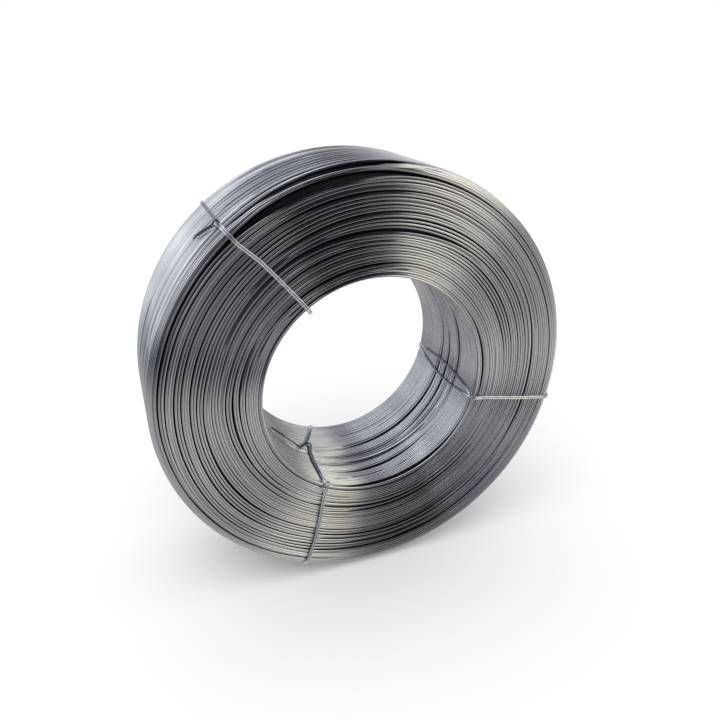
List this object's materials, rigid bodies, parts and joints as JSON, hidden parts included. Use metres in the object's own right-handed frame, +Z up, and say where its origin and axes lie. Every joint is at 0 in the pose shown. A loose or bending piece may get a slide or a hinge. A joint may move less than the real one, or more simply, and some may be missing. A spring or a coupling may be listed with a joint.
{
  "type": "coil of galvanized steel wire",
  "caption": "Layer-wound coil of galvanized steel wire with an open bore, bound by twisted double wire ties.",
  "frame": {"origin": "on the floor under the middle of the coil, which stands on its rim", "axes": "+Z up, Y along the winding's axis with the front end towards -Y, +X to the right seen from the front"},
  "size_m": [0.285, 0.093, 0.285],
  "materials": {
    "galvanized_winding": "bright drawn steel wire with a thin zinc coating, semi-gloss",
    "galvanized_tie": "bright zinc-coated tie wire"
  },
  "bodies": {
    "root": {"wire_coil": "galvanized_winding", "tie_left": "galvanized_tie", "tie_right": "galvanized_tie", "tie_lower": "galvanized_tie"}
  },
  "joints": []
}
